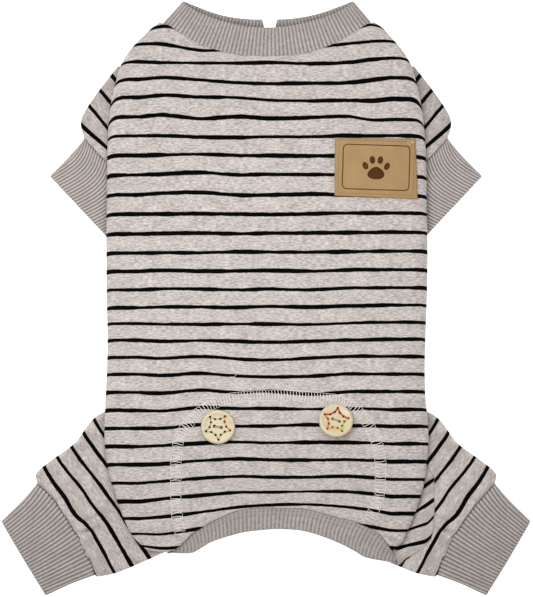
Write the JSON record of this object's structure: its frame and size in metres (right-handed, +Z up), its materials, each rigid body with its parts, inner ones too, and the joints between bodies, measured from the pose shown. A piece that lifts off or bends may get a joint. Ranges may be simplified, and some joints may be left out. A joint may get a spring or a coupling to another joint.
{
  "type": "dog jumpsuit",
  "caption": "Striped jersey dog jumpsuit lying flat on its belly, with ribbed collar, cuffs and rear hem, a leather patch and wooden buttons on the back.",
  "frame": {"origin": "centre of the suit's footprint, on the floor it lies on", "axes": "+Y towards the neck, +Z up through the back, +X towards the wearer's right when seen from above with the neck up"},
  "size_m": [0.2806, 0.3148, 0.0273],
  "materials": {
    "jersey": "heathered cotton jersey with thin black stripes",
    "rib_knit": "ribbed cotton knit",
    "leather": "matte tan leather with a printed motif",
    "wood": "pale varnished wood"
  },
  "bodies": {
    "root": {"back_panel": "jersey", "belly_panel": "jersey", "sleeve_left": "jersey", "sleeve_right": "jersey", "leg_left": "jersey", "leg_right": "jersey", "collar": "rib_knit", "hem_band": "rib_knit", "sleeve_cuff_left": "rib_knit", "sleeve_cuff_right": "rib_knit", "leg_cuff_left": "rib_knit", "leg_cuff_right": "rib_knit", "patch": "leather", "button_left": "wood", "button_right": "wood"}
  },
  "joints": []
}
